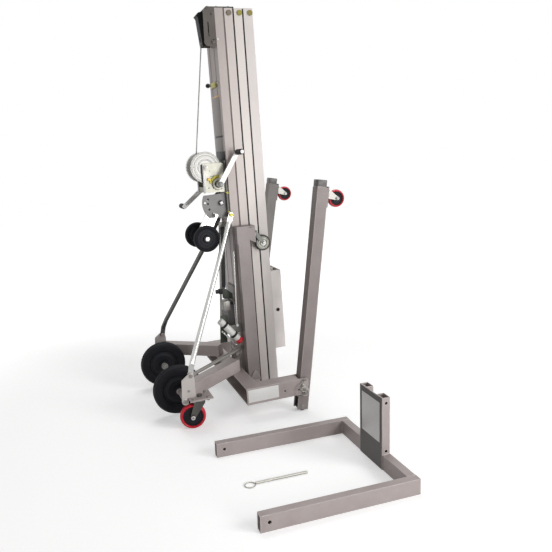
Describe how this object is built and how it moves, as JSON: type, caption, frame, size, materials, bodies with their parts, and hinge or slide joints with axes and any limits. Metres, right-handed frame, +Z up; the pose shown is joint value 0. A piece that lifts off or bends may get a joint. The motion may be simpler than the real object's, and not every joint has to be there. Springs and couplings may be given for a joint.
{
  "type": "material hoist",
  "caption": "Stowed material hoist: nested telescopic mast on a wheeled base, folded front legs, hand winch, detached fork frame and its loose pin.",
  "frame": {"origin": "centre of the overall bounding box in plan, at floor level", "axes": "+Z up, +X towards the front of the machine (carriage side), +Y to its left; the stowed machine leans back about the rear wheels"},
  "size_m": [1.0027, 1.7815, 1.9981],
  "materials": {
    "frame_paint": "satin",
    "pale_tube": "satin",
    "column_aluminium": "satin",
    "dark_cover": "satin",
    "bright_steel": "satin",
    "cable_steel": "satin",
    "black_grip": "matte",
    "red_plastic": "gloss",
    "black_tyre": "matte",
    "red_tyre": "gloss",
    "pale_wheel": "matte",
    "caster_steel": "satin"
  },
  "bodies": {
    "frame": {"cross_channel": "frame_paint", "side_member_right": "frame_paint", "side_member_left": "frame_paint", "rear_arm_right": "frame_paint", "rear_arm_left": "frame_paint", "corner_bracket_right": "frame_paint", "corner_bracket_left": "frame_paint", "mast_brace_right": "pale_tube", "mast_brace_left": "pale_tube", "stay_bar": "pale_tube", "column_1": "column_aluminium", "head_housing": "dark_cover", "lift_cable": "cable_steel", "winch_frame": "bright_steel", "wheel_quadrant": "dark_cover", "document_tube": "bright_steel", "mast_rear_fittings": "dark_cover", "fork_frame": "frame_paint", "fork_pin": "bright_steel"},
    "mast_2": {"column_2": "column_aluminium", "column_2_cap": "dark_cover"},
    "mast_3": {"column_3": "column_aluminium"},
    "mast_4": {"column_4": "column_aluminium"},
    "carriage": {"carriage": "column_aluminium"},
    "winch_drum": {"winch_drum": "bright_steel"},
    "winch_crankshaft": {"winch_crankshaft": "bright_steel", "crank_right": "bright_steel", "crank_left": "bright_steel"},
    "head_pulley": {"head_pulley": "bright_steel"},
    "crank_grip_right": {"crank_grip_right": "black_grip"},
    "crank_grip_left": {"crank_grip_left": "black_grip"},
    "loading_arm": {"loading_arm": "pale_tube"},
    "loading_wheel_right": {"loading_wheel_right": "black_tyre"},
    "loading_wheel_left": {"loading_wheel_left": "black_tyre"},
    "loading_pin": {"loading_pin": "bright_steel"},
    "document_cap": {"document_cap": "red_plastic"},
    "leg_right": {"leg_right": "frame_paint"},
    "leg_roller_right": {"leg_roller_right": "black_grip"},
    "leg_caster_fork_right": {"leg_caster_fork_right": "caster_steel"},
    "leg_caster_wheel_right": {"leg_caster_wheel_right": "red_tyre"},
    "leg_lock_pin_right": {"leg_lock_pin_right": "bright_steel"},
    "big_wheel_right": {"big_wheel_right": "black_tyre"},
    "rear_caster_fork_right": {"rear_caster_fork_right": "caster_steel"},
    "rear_caster_wheel_right": {"rear_caster_wheel_right": "red_tyre"},
    "stabiliser_right": {"stabiliser_right": "pale_tube"},
    "stabiliser_caster_right": {"stabiliser_caster_right": "caster_steel"},
    "stabiliser_wheel_right": {"stabiliser_wheel_right": "pale_wheel"},
    "leg_left": {"leg_left": "frame_paint"},
    "leg_roller_left": {"leg_roller_left": "black_grip"},
    "leg_caster_fork_left": {"leg_caster_fork_left": "caster_steel"},
    "leg_caster_wheel_left": {"leg_caster_wheel_left": "red_tyre"},
    "leg_lock_pin_left": {"leg_lock_pin_left": "bright_steel"},
    "big_wheel_left": {"big_wheel_left": "black_tyre"},
    "rear_caster_fork_left": {"rear_caster_fork_left": "caster_steel"},
    "rear_caster_wheel_left": {"rear_caster_wheel_left": "red_tyre"},
    "stabiliser_left": {"stabiliser_left": "pale_tube"},
    "stabiliser_caster_left": {"stabiliser_caster_left": "caster_steel"},
    "stabiliser_wheel_left": {"stabiliser_wheel_left": "pale_wheel"}
  },
  "joints": [
    {"name": "mast_2_slide", "type": "slide", "parent": "frame", "child": "mast_2", "axis": [-0.0384, 0, 0.9993], "range_m": [0, 1.3]},
    {"name": "mast_3_slide", "type": "slide", "parent": "mast_2", "child": "mast_3", "axis": [-0.0384, 0, 0.9993], "range_m": [0, 1.3]},
    {"name": "mast_4_slide", "type": "slide", "parent": "mast_3", "child": "mast_4", "axis": [-0.0384, 0, 0.9993], "range_m": [0, 1.3]},
    {"name": "carriage_slide", "type": "slide", "parent": "mast_4", "child": "carriage", "axis": [-0.0384, 0, 0.9993], "range_m": [0, 1.3]},
    {"name": "drum_spin", "type": "hinge", "parent": "frame", "child": "winch_drum", "pos_m": [-0.14009, 0.43325, 1.23196], "axis": [0, 1, 0], "continuous": true},
    {"name": "crankshaft_spin", "type": "hinge", "parent": "frame", "child": "winch_crankshaft", "pos_m": [-0.08263, 0.43325, 1.14709], "axis": [0, 1, 0], "continuous": true},
    {"name": "head_pulley_spin", "type": "hinge", "parent": "frame", "child": "head_pulley", "pos_m": [-0.07965, 0.43325, 1.87276], "axis": [0, 1, 0], "continuous": true},
    {"name": "crank_grip_right_spin", "type": "hinge", "parent": "winch_crankshaft", "child": "crank_grip_right", "pos_m": [0.01056, 0.25625, 1.30342], "axis": [0, 1, 0], "continuous": true},
    {"name": "crank_grip_left_spin", "type": "hinge", "parent": "winch_crankshaft", "child": "crank_grip_left", "pos_m": [-0.21957, 0.61025, 1.0272], "axis": [0, 1, 0], "continuous": true},
    {"name": "loading_arm_swing", "type": "hinge", "parent": "frame", "child": "loading_arm", "pos_m": [-0.07008, 0.43325, 1.05052], "axis": [0, 1, 0], "range_deg": [0, 43]},
    {"name": "loading_wheel_right_spin", "type": "hinge", "parent": "loading_arm", "child": "loading_wheel_right", "pos_m": [-0.16227, 0.32625, 0.87416], "axis": [0, 1, 0], "continuous": true},
    {"name": "loading_wheel_left_spin", "type": "hinge", "parent": "loading_arm", "child": "loading_wheel_left", "pos_m": [-0.16227, 0.54025, 0.87416], "axis": [0, 1, 0], "continuous": true},
    {"name": "loading_pin_pull", "type": "slide", "parent": "frame", "child": "loading_pin", "axis": [0, -1, 0], "range_m": [0, 0.015]},
    {"name": "document_cap_twist", "type": "hinge", "parent": "frame", "child": "document_cap", "pos_m": [-0.01723, 0.30325, 0.32601], "axis": [0.6655, 0, -0.7464], "range_deg": [0, 90]},
    {"name": "leg_right_fold", "type": "hinge", "parent": "frame", "child": "leg_right", "pos_m": [0.22436, 0.03425, 0.10712], "axis": [0, 1, 0], "range_deg": [0, 78]},
    {"name": "leg_roller_right_spin", "type": "hinge", "parent": "leg_right", "child": "leg_roller_right", "pos_m": [0.21444, 0.03425, 0.024], "axis": [0, 1, 0], "continuous": true},
    {"name": "leg_caster_right_swivel", "type": "hinge", "parent": "leg_right", "child": "leg_caster_fork_right", "pos_m": [0.37619, 0.03425, 1.08905], "axis": [0.993, 0, -0.1184], "continuous": true},
    {"name": "leg_caster_wheel_right_spin", "type": "hinge", "parent": "leg_caster_fork_right", "child": "leg_caster_wheel_right", "pos_m": [0.42508, 0.03425, 1.06409], "axis": [0, 1, 0], "continuous": true},
    {"name": "leg_lock_pin_right_pull", "type": "slide", "parent": "frame", "child": "leg_lock_pin_right", "axis": [0, -1, 0], "range_m": [0, 0.025]},
    {"name": "big_wheel_right_spin", "type": "hinge", "parent": "frame", "child": "big_wheel_right", "pos_m": [-0.37635, 0.21625, 0.14009], "axis": [0, 1, 0], "continuous": true},
    {"name": "rear_caster_right_swivel", "type": "hinge", "parent": "frame", "child": "rear_caster_fork_right", "pos_m": [-0.30487, 0.03325, 0.1028], "axis": [-0.0384, 0, 0.9993], "continuous": true},
    {"name": "rear_caster_wheel_right_spin", "type": "hinge", "parent": "rear_caster_fork_right", "child": "rear_caster_wheel_right", "pos_m": [-0.34274, 0.0402, 0.0625], "axis": [-0.1735, -0.9848, -0.0067], "continuous": true},
    {"name": "stabiliser_right_lift", "type": "slide", "parent": "frame", "child": "stabiliser_right", "axis": [-0.0384, 0, 0.9993], "range_m": [0, 0.04]},
    {"name": "stabiliser_caster_right_swivel", "type": "hinge", "parent": "stabiliser_right", "child": "stabiliser_caster_right", "pos_m": [0.08034, 0.30025, 0.88617], "axis": [0.9993, 0, 0.0384], "range_deg": [-189, 9]},
    {"name": "stabiliser_wheel_right_spin", "type": "hinge", "parent": "stabiliser_caster_right", "child": "stabiliser_wheel_right", "pos_m": [0.12727, 0.30025, 0.83693], "axis": [0, 1, 0], "continuous": true},
    {"name": "leg_left_fold", "type": "hinge", "parent": "frame", "child": "leg_left", "pos_m": [0.22436, 0.83225, 0.10712], "axis": [0, 1, 0], "range_deg": [0, 76]},
    {"name": "leg_roller_left_spin", "type": "hinge", "parent": "leg_left", "child": "leg_roller_left", "pos_m": [0.21149, 0.83225, 0.024], "axis": [0, 1, 0], "continuous": true},
    {"name": "leg_caster_left_swivel", "type": "hinge", "parent": "leg_left", "child": "leg_caster_fork_left", "pos_m": [0.41036, 0.83225, 1.08316], "axis": [0.9882, 0, -0.153], "continuous": true},
    {"name": "leg_caster_wheel_left_spin", "type": "hinge", "parent": "leg_caster_fork_left", "child": "leg_caster_wheel_left", "pos_m": [0.45835, 0.83225, 1.0565], "axis": [0, 1, 0], "continuous": true},
    {"name": "leg_lock_pin_left_pull", "type": "slide", "parent": "frame", "child": "leg_lock_pin_left", "axis": [0, 1, 0], "range_m": [0, 0.025]},
    {"name": "big_wheel_left_spin", "type": "hinge", "parent": "frame", "child": "big_wheel_left", "pos_m": [-0.37635, 0.65025, 0.14009], "axis": [0, 1, 0], "continuous": true},
    {"name": "rear_caster_left_swivel", "type": "hinge", "parent": "frame", "child": "rear_caster_fork_left", "pos_m": [-0.30487, 0.83325, 0.1028], "axis": [-0.0384, 0, 0.9993], "continuous": true},
    {"name": "rear_caster_wheel_left_spin", "type": "hinge", "parent": "rear_caster_fork_left", "child": "rear_caster_wheel_left", "pos_m": [-0.34274, 0.8263, 0.0625], "axis": [-0.1735, 0.9848, -0.0067], "continuous": true},
    {"name": "stabiliser_left_lift", "type": "slide", "parent": "frame", "child": "stabiliser_left", "axis": [-0.0384, 0, 0.9993], "range_m": [0, 0.04]},
    {"name": "stabiliser_caster_left_swivel", "type": "hinge", "parent": "stabiliser_left", "child": "stabiliser_caster_left", "pos_m": [0.08034, 0.56625, 0.88617], "axis": [0.9993, 0, 0.0384], "range_deg": [-9, 189]},
    {"name": "stabiliser_wheel_left_spin", "type": "hinge", "parent": "stabiliser_caster_left", "child": "stabiliser_wheel_left", "pos_m": [0.12727, 0.56625, 0.83693], "axis": [0, 1, 0], "continuous": true}
  ],
  "couplings": [
    {"joint": "mast_3_slide", "follows": "mast_2_slide", "ratio": 1},
    {"joint": "mast_4_slide", "follows": "mast_2_slide", "ratio": 1},
    {"joint": "carriage_slide", "follows": "mast_2_slide", "ratio": 1},
    {"joint": "drum_spin", "follows": "mast_2_slide", "rad_per_m": -28.09},
    {"joint": "crankshaft_spin", "follows": "mast_2_slide", "rad_per_m": 76.609},
    {"joint": "head_pulley_spin", "follows": "mast_2_slide", "rad_per_m": -32.258}
  ]
}
